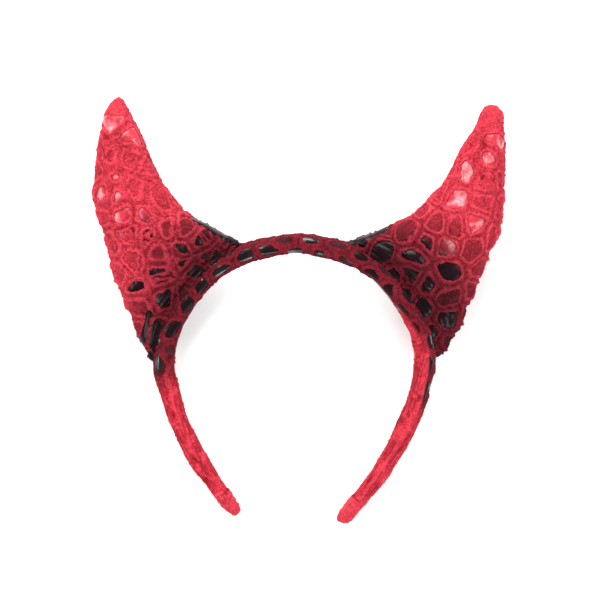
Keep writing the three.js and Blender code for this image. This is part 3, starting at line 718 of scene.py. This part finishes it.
def band_fullness(distance, angle, leg):
    """How far the covered band stands out past the bare one"""
    shoulder = smoothstep(distance, 30, 60) * (1 - smoothstep(distance, 90, 112))
    out, inward = (1 + np.cos(angle)) / 2, (1 - np.cos(angle)) / 2
    offset = np.interp(distance, *LEG_OFFSETS) * (0.35 * out - 0.75 * inward)
    full = 0.15 + 0.4 * out + (0.3 + 0.6 * shoulder) * inward * (1 - leg) + offset
    for at, length, outside, inside in BAND_BUMPS:
        full = full + (inside * inward + outside * out) * bell(distance, at, length)
    round_it = np.stack([1.6 * np.cos(angle), 1.6 * np.sin(angle), distance / 6.5], -1)
    return full + 0.45 * leg * value_noise(round_it, 1.0, 95)


def band_seeds():
    """Seeds of the band's cells, across and along, with their cords' half widths and which are filled"""
    rng = np.random.RandomState(12)
    seeds = []
    for column in range(int(2 * LEG / LANE_PITCH)):
        for lane in range(LANES):
            across = ((lane + 0.5) / LANES - 0.5) * GIRTH * 0.86 + rng.uniform(-0.7, 0.7)
            run = -LEG + LANE_PITCH * (column + (lane % 2) / 2 + rng.uniform(-0.22, 0.22))
            seeds.append((across, run))
    across, run = np.array(seeds).T
    under_left_horn, under_right_horn = within(run, -82, -8), within(run, 8, 76)
    front = (across > 9) & under_left_horn
    across = across - LANE_MOVE * ((across > 3) & under_left_horn)
    on_leg = np.interp(np.abs(run), [80, 100], [0, 1])
    cord = rng.uniform(0.75, 1.15, len(run)) * (1 - 0.1 * on_leg)
    filled = rng.uniform(size=len(run)) < 0.2 + 0.8 * on_leg
    filled |= (across > 8) & ((run > 76) | (run < -82))
    beside_foot = within(across, -3, 7) & within(np.abs(run - 4), 76, 96)
    filled &= ~(front | beside_foot)
    cord = np.where(front, 0.95, np.where(beside_foot, 0.7, cord))

    # One more lane, of filled cells, between the front lane and the inner face
    inner = np.vstack([
        np.stack([np.full(chosen.sum(), place), run[chosen]], -1)
        for chosen, place in ((front, 14.2), ((across > 9) & under_right_horn, 15.2))
    ])
    seeds = np.vstack([np.stack([across, run], -1), inner])
    return seeds, np.append(cord, np.full(len(inner), 0.9)), np.append(filled, np.ones(len(inner), bool))


def band_pieces():
    """The cloth and the net of the band"""
    places = np.linspace(-BAND_END, BAND_END, BAND_ROWS)
    distance, angle = np.meshgrid(places, turns(BAND_COLUMNS), indexing="ij")
    leg, on_right = smoothstep(np.abs(distance), 74, 100), smoothstep(distance, 60, 80)
    points = band_surface(angle, distance, band_fullness(distance, angle, leg))
    normals = band_normals(points)
    red = leg_redness(points, distance, angle)
    wrinkle = 0.28 * layered_noise(np.stack([distance / 2.6, angle * 2.2, 0 * angle], -1), 3.0, 5)
    wrinkle *= 1 - 0.6 * (np.cos(angle) < -0.8)

    seeds, cord, filled = band_seeds()
    at = np.stack([wrapped(angle) / (2 * np.pi) * GIRTH, distance], -1)
    warp = noise_vector(points, 2, (6.0, 50, 0.9), (1.6, 60, 0.3))
    cells = nearest_cells((at + warp) * SQUASH, seeds * SQUASH)
    height, sheer = net_height(points, cells, cord, filled, 31, 0.55 - 0.2 * leg * on_right)
    height, painted_crevice_shade = knotted(points, height, 31, 0.25 - 0.15 * leg)

    # Long strands along the legs, and a seam where the leg ends are wrapped
    turn = np.stack([2.6 * np.cos(angle), 2.6 * np.sin(angle), distance / 12 + 0.9 * np.sin(angle)], -1)
    strands = layered_noise(turn, 0.9, 88, 2)
    # Painted shade along the furrows between the leg's strands, mixed into the painted crevice shade
    furrow_shade = smoothstep(-np.abs(strands), -0.13, -0.02) * smoothstep(value_noise(points, 6.0, 93), -0.8, 0.2)
    painted_crevice_shade = painted_crevice_shade * (1 - leg) + leg * np.maximum(0.2 * painted_crevice_shade, furrow_shade)
    sheer = sheer * (1 - leg * (0.1 + 0.6 * on_right))
    ending = smoothstep(np.abs(distance), WRAP_START - 7, WRAP_START + 1)
    raised = height + (0.9 * np.abs(strands) - 0.2) * leg + 0.4 * ending
    height = np.where(height > 0, np.maximum(raised, 0.15), height)

    # The lace stops short of the inner face
    turned = np.abs(wrapped(angle))
    edge = 2.8 + 0.4 * value_noise(points, 4.5, 77) + 0.3 * leg
    height = np.maximum(height - 2.5 * smoothstep(turned, edge - 0.1, edge + 0.1), OPEN)
    net_points = lifted(points, normals, wrinkle + np.maximum(height, LOWEST))
    keep = height > EDGE
    keep[:4] = keep[-4:] = False
    # The net's depth becomes painted shade low down and painted highlight high up in its material, and its
    # crevice mark becomes painted shade
    net = mesh_object(
        "band_net", net_points.reshape(-1, 3), [grid_faces(BAND_ROWS, BAND_COLUMNS, keep, True)],
        {"tone": red.ravel(), "depth": np.clip(height / FULLEST, 0, 1).ravel(), "painted_crevice_shade": painted_crevice_shade.ravel(),
         "sheer": sheer.ravel(), "web": red.ravel()},
    )

    bulge = 0.4 * smoothstep(-resmoothed(height), -0.2, 0.8) * (1 - smoothstep(turned, edge - 0.3, edge))
    body = lifted(points, normals, wrinkle + bulge - 0.05)[::2, ::2]
    rows, columns = body.shape[:2]
    count = rows * columns
    ends = np.zeros((2, 3))
    ends[:, :2] = [band_station(np.array(d))[0] for d in (-BAND_END, BAND_END)]
    cover = mesh_object(
        "band_cover", np.vstack([body.reshape(-1, 3), ends]),
        [grid_faces(rows, columns, flip=True), fan(count, ring(0, columns), False),
         fan(count + 1, ring(rows - 1, columns), True)],
        {"red": np.append(red[::2, ::2].ravel(), [1.0, 1.0])},
    )
    return cover, net


def band_normals(points):
    around = np.roll(points, -1, 1) - np.roll(points, 1, 1)
    up = np.gradient(points, axis=0)
    n = unit(np.cross(up, around))
    centre = points.mean(1, keepdims=True)
    return n * np.sign(((points - centre) * n).sum(-1, keepdims=True))


def leg_redness(points, distance, angle):
    """Where the black cloth turns red: lower on the outside than on the inside, most so on the right"""
    down = -points[..., 1] + 5 * layered_noise(points, 12.0, 90)
    inward = (1 - np.cos(angle)) / 2
    right_start = 77 - 34 * smoothstep(inward, 0.28, 0.5) - 16 * smoothstep(inward, 0.5, 1)
    start = np.where(distance < 0, 61 - 8 * inward, right_start)
    return smoothstep(down, start - 6, start + 8)


# The coverings: how creased each is, how far it reaches past the solid, how much fuller it is on the inside
# from where on, and how much further it reaches there
WRAPS = {
    "left": dict(side=-1, lumpiness=0.7, more=1.3, inner=-0.7, inner_start=WRAP_START, skew=-0.3, seed=4),
    "right": dict(side=1, lumpiness=0.4, more=2.5, inner=0.5, inner_start=LEG - 4, skew=0.7, seed=9),
}
WRAP_ROWS, WRAP_COLUMNS = 110, 96


def end_wrap(name, side, lumpiness, more, inner, inner_start, skew, seed):
    """The covering folded over a leg end: a cup with a rounded, creased bottom"""
    outside, middle, end = WRAP_GAP + WRAP_THICKNESS, (BAND_END + WRAP_START) / 2, LEG + more
    profile = np.array([
        (BAND_END + SEAT_GAP, WRAP_GAP), (middle, WRAP_GAP), (WRAP_START, WRAP_GAP),
        (WRAP_START - 0.2, outside - WRAP_ROUNDING), (WRAP_START + 0.2, outside - 0.25),
        (WRAP_START + WRAP_ROUNDING, outside), (middle, outside),
        (end - WRAP_DOME * 1.4, outside - 0.2), (end - WRAP_DOME, outside - 0.35),
        (end - WRAP_DOME * 0.45, outside - WRAP_DOME * 0.35),
        (end - WRAP_DOME * 0.1, outside - WRAP_DOME * 0.72), (end, outside - WRAP_DOME),
    ])
    reach = np.concatenate([[0], np.cumsum(np.linalg.norm(np.diff(profile, axis=0), axis=1))])
    fine = np.linspace(0, reach[-1], WRAP_ROWS)[:, None]
    distance, lift = np.interp(fine, reach, profile[:, 0]), np.interp(fine, reach, profile[:, 1])
    angle = np.broadcast_to(turns(WRAP_COLUMNS), (WRAP_ROWS, WRAP_COLUMNS))
    inward = (1 - np.cos(angle)) / 2
    reaching = distance + skew * (2 * inward - 1) * smoothstep(distance, LEG - 5, end)
    points = band_surface(angle, side * reaching, lift + 0 * angle)
    normals = band_normals(points)
    start = 1 - smoothstep(distance, WRAP_START, WRAP_START + 5)
    swelling = inner * inward * smoothstep(distance, inner_start, inner_start + 5)
    weight = (fine > reach[3]) * np.clip(1 + (lift - outside) / WRAP_DOME, 0, 1)
    points = lifted(points, normals, -weight * (0.55 * start + 0.35 * inward - swelling))
    outer = smoothstep(fine, reach[2], reach[5])
    crease = layered_noise(points, 4.2, seed)
    fold = 0.45 * np.sin(distance * 2.1 + 1.2 * np.sin(angle) + seed)
    grain = 0.3 * (0.55 - knots(points, 1.2, seed + 3))
    relief = (lumpiness * crease + 0.5 * lumpiness * fold + grain) * outer
    points = lifted(points, normals, np.clip(relief, -0.55, 0.9))
    centres = np.zeros((2, 3))
    centres[:, :2] = [band_station(np.array(side * d))[0] for d in (BAND_END + SEAT_GAP, end)]
    count, flip = WRAP_ROWS * WRAP_COLUMNS, side > 0
    faces = [
        grid_faces(WRAP_ROWS, WRAP_COLUMNS, flip=flip),
        fan(count, ring(0, WRAP_COLUMNS), not flip),
        fan(count + 1, ring(WRAP_ROWS - 1, WRAP_COLUMNS), flip),
    ]
    # Painted shade and highlight: the wrap's depth follows its creases and is lowest inside the cup, so its
    # material darkens the hollows and lightens the raised folds
    depth = np.clip(0.55 + relief * 0.6, 0, 1) * outer
    layers = {"tone": np.ones(count + 2), "depth": np.append(depth.ravel(), [0, 0.5]),
              "painted_crevice_shade": np.zeros(count + 2), "sheer": np.zeros(count + 2), "web": np.ones(count + 2)}
    return mesh_object(name, np.vstack([points.reshape(-1, 3), centres]), faces, layers)


# Materials. Scales of noise and cells are per metre, and depths of bumps in metres.
# The mix node's sockets for its factor and two colours, and for the mixed colour
MIX_INPUTS, MIX_OUTPUT = (0, 6, 7), 2


class Nodes:
    """A material's nodes, made and joined by short calls"""

    def __init__(self, name):
        self.material = bpy.data.materials.new(name)
        self.material.use_nodes = True
        self.tree = self.material.node_tree
        self.shader = self.tree.nodes["Principled BSDF"]
        self.coords = self.tree.nodes.new("ShaderNodeTexCoord").outputs["Object"]

    def link(self, source, target):
        self.tree.links.new(source, target)

    def put(self, **values):
        for key, value in values.items():
            self.shader.inputs[key.replace("_", " ")].default_value = value

    def attribute(self, name):
        node = self.tree.nodes.new("ShaderNodeAttribute")
        node.attribute_name = name
        return node.outputs["Fac"]

    def add(self, kind, **values):
        node = self.tree.nodes.new(kind)
        for key, value in values.items():
            node.inputs[key].default_value = value
        return node

    def noise(self, scale, detail):
        node = self.add("ShaderNodeTexNoise", Scale=scale, Detail=detail, Roughness=0.55)
        self.link(self.coords, node.inputs["Vector"])
        return node.outputs["Fac"]

    def cells(self, scale):
        node = self.add("ShaderNodeTexVoronoi", Scale=scale)
        self.link(self.coords, node.inputs["Vector"])
        return node.outputs["Distance"]

    def ramp(self, source, *stops):
        node = self.tree.nodes.new("ShaderNodeValToRGB")
        ramp = node.color_ramp
        while len(ramp.elements) < len(stops):
            ramp.elements.new(0.5)
        for element, (at, value) in zip(ramp.elements, stops):
            element.position = at
            element.color = (*value, 1) if isinstance(value, tuple) else (value, value, value, 1)
        self.link(source, node.inputs["Fac"])
        return node.outputs["Color"]

    def mix(self, factor, a, b, blend="MIX"):
        node = self.tree.nodes.new("ShaderNodeMix")
        node.data_type, node.blend_type = "RGBA", blend
        for socket, value in zip(MIX_INPUTS, (factor, a, b)):
            if isinstance(value, float):
                node.inputs[socket].default_value = value
            elif isinstance(value, tuple):
                node.inputs[socket].default_value = (*value, 1)
            else:
                self.link(value, node.inputs[socket])
        return node.outputs[MIX_OUTPUT]

    def bump(self, source, strength, distance, under=None):
        node = self.add("ShaderNodeBump", Strength=strength, Distance=distance)
        self.link(source, node.inputs["Height"])
        if under is not None:
            self.link(under, node.inputs["Normal"])
        return node.outputs["Normal"]

    def finish(self, color, normal, roughness=None):
        self.link(color, self.shader.inputs["Base Color"])
        self.link(normal, self.shader.inputs["Normal"])
        if roughness is not None:
            self.link(roughness, self.shader.inputs["Roughness"])
        return self.material


def lace_material(name, dark, bright, web_dark, web_bright):
    """Dull thread, with painted shade where the net lies low, between its knots and in its creases, and
    painted highlights where it stands high
    """
    m = Nodes(name)
    thread = m.mix(m.attribute("tone"), dark, bright)
    color = m.mix(m.attribute("sheer"), thread, m.mix(m.attribute("web"), web_dark, web_bright))
    uneven = m.ramp(m.noise(260, 4), (0.3, 0.78), (0.7, 1.12))
    # Painted shade between the thread's small knots, and a painted highlight on each knot
    painted_knot_shading = m.ramp(m.cells(1300), (0.0, (1.2, 1.25, 1.25)), (0.75, (0.72, 0.56, 0.59)))
    # Painted shade and highlight: low parts of the net are darkened and high parts lightened, as light would
    # fall on them
    painted_height_shading = ((0.03, (0.46, 0.3, 0.33)), (0.17, (0.88, 0.76, 0.78)), (0.42, 1.03), (1.0, (1.2, 1.45, 1.45)))
    depth = m.ramp(m.attribute("depth"), *painted_height_shading)
    # Painted shade in crevices between knots and along creases and furrows
    painted_crevice_shade = m.ramp(m.attribute("painted_crevice_shade"), (0.0, 1.0), (1.0, (0.58, 0.38, 0.42)))
    for factor in (uneven, painted_knot_shading, depth, painted_crevice_shade):
        color = m.mix(1.0, color, factor, "MULTIPLY")
    m.put(Roughness=0.9, Specular_IOR_Level=0.08)
    normal = m.bump(m.noise(2600, 2), 0.35, 0.00012, m.bump(m.cells(1100), 0.55, 0.0003))
    return m.finish(color, normal)


def cloth_material(name, red, painted_highlight, roughness, coat):
    """Glossy cloth from black to red, with painted pale highlights in patches on the red, and glints of its
    coat in places
    """
    m = Nodes(name)
    redness = m.attribute("red")
    # Painted highlights: pale pink patches mixed into the red, standing in for reflections of the lights
    highlight_patches = m.ramp(m.noise(150, 2), (0.47, 0.0), (0.58, 1.0))
    painted_highlight_mask = m.mix(1.0, highlight_patches, m.ramp(m.noise(900, 4), (0.35, 0.3), (0.6, 1.0)), "MULTIPLY")
    color = m.mix(redness, BLACK, m.mix(painted_highlight_mask, red, painted_highlight))
    uneven = m.ramp(m.noise(180, 3), (0.3, 0.75), (0.7, 1.15))
    color = m.mix(1.0, color, uneven, "MULTIPLY")
    grain = m.ramp(m.noise(420, 3), (0.3, 0.8), (0.7, 1.2))
    rough = m.mix(1.0, m.mix(redness, (roughness[0],) * 3, (roughness[1],) * 3), grain, "MULTIPLY")
    m.put(Specular_IOR_Level=0.1, Coat_Roughness=0.11)
    glints = m.ramp(m.noise(75, 1), (0.47, 0.12), (0.56, 1.0))
    gloss = m.mix(1.0, m.ramp(redness, (0.0, coat[0]), (1.0, coat[1])), glints, "MULTIPLY")
    m.link(gloss, m.shader.inputs["Coat Weight"])
    normal = m.bump(m.noise(2400, 2), 0.2, 0.0001, m.bump(m.noise(300, 4), 0.4, 0.0005))
    return m.finish(color, normal, rough)


BLACK = (0.007, 0.002, 0.003)
LACES = {
    "horn_lace_red": dict(dark=(0.1, 0.006, 0.013), bright=(0.48, 0.037, 0.057),
                          web_dark=(0.05, 0.006, 0.01), web_bright=(0.46, 0.034, 0.053)),
    "band_lace_red": dict(dark=(0.15, 0.009, 0.018), bright=(0.49, 0.037, 0.058),
                          web_dark=(0.06, 0.014, 0.02), web_bright=(0.42, 0.022, 0.038)),
    "wrap_red": dict(dark=(0.3, 0.02, 0.03), bright=(0.44, 0.031, 0.048),
                     web_dark=(0.3, 0.02, 0.03), web_bright=(0.4, 0.03, 0.05)),
}
# Red of the cloth and the colour of its painted highlights, then roughness and coat where the cloth is black,
# then where it is red
CLOTHS = {
    "horn_glossy_cloth": dict(red=(0.42, 0.028, 0.045), painted_highlight=(0.6, 0.22, 0.23),
                              roughness=(0.3, 0.33), coat=(0.1, 0.4)),
    "band_glossy_cloth": dict(red=(0.4, 0.02, 0.035), painted_highlight=(0.42, 0.05, 0.07),
                              roughness=(0.35, 0.6), coat=(0.8, 0.1)),
}
horn_lace, band_lace, wrap_cloth = [lace_material(name, **colors) for name, colors in LACES.items()]
horn_cloth, band_cloth = [cloth_material(name, **looks) for name, looks in CLOTHS.items()]


def place(piece, node, slot, material):
    piece.data.materials.append(material)
    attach(piece, "root")
    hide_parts(node)


for horn_name, shape in HORNS.items():
    horn = Horn(horn_name, **shape)
    horn.moved = settled(horn)
    cover, net = horn_pieces(horn, LOOKS[horn_name])
    place(cover, f"horn_{horn_name}", "horn_fabric", horn_cloth)
    place(net, f"horn_lace_{horn_name}", "horn_lace", horn_lace)

band_cover, band_net = band_pieces()
place(band_cover, "band", "band_fabric", band_cloth)
place(band_net, "band_lace", "band_lace", band_lace)

for wrap_name, wrap_look in WRAPS.items():
    wrap = end_wrap(f"end_wrap_{wrap_name}_cloth", **wrap_look)
    place(wrap, f"end_wrap_{wrap_name}", "wrap_fabric", wrap_cloth)


# Studio: a pale floor, soft lights and the camera that looks straight at the front

def floor():
    mesh = bpy.data.meshes.new("studio_floor")
    size = 3.0
    corners = [(-size, -size, 0), (size, -size, 0), (size, size, 0), (-size, size, 0)]
    mesh.from_pydata(corners, [], [(0, 1, 2, 3)])
    o = bpy.data.objects.new("studio_floor", mesh)
    bpy.context.scene.collection.objects.link(o)
    m = Nodes("pale_floor")
    m.put(Roughness=0.9, Base_Color=(0.93, 0.93, 0.93, 1))
    mesh.materials.append(m.material)


# Soft lights: place, size and power
LIGHTS = {
    "top_light": ((-0.1, 0.9, 0.55), 0.8, 22),
    "low_light": ((0.1, -0.95, 0.4), 0.7, 12),
    "left_light": ((-0.9, 0.1, 0.5), 0.5, 7),
    "near_light": ((-0.3, 0.3, 0.95), 0.14, 1.5),
    "right_light": ((0.9, 0.1, 0.5), 0.5, 6),
    "corner_light": ((0.6, -0.6, 0.6), 0.2, 1.5),
}
LIGHTS_AIM = Vector((0, 0, 0.01))


def area_light(name, at, size, power):
    data = bpy.data.lights.new(name, "AREA")
    data.size, data.energy = size, power
    o = bpy.data.objects.new(name, data)
    bpy.context.scene.collection.objects.link(o)
    o.location = at
    o.rotation_euler = (LIGHTS_AIM - Vector(at)).to_track_quat("-Z", "Y").to_euler()


floor()
for light_name, light in LIGHTS.items():
    area_light(light_name, *light)

world = bpy.data.worlds.new("studio")
bpy.context.scene.world = world
world.use_nodes = True
background = world.node_tree.nodes["Background"]
background.inputs["Color"].default_value = (1, 1, 1, 1)
background.inputs["Strength"].default_value = 0.3

# Width of the view at the headband, the camera's height over it, and the point it looks at, in metres
VIEW_WIDTH, VIEW_DISTANCE, VIEW_CENTRE = 0.27, 1.1, (-0.00014, 0.0041, 0.0176)
camera = bpy.data.cameras.new("camera")
camera.lens = camera.sensor_width * VIEW_DISTANCE / VIEW_WIDTH
camera_object = bpy.data.objects.new("camera", camera)
bpy.context.scene.collection.objects.link(camera_object)
camera_object.location = (*VIEW_CENTRE[:2], VIEW_CENTRE[2] + VIEW_DISTANCE)
bpy.context.scene.camera = camera_object
bpy.context.scene.view_settings.view_transform = "Standard"
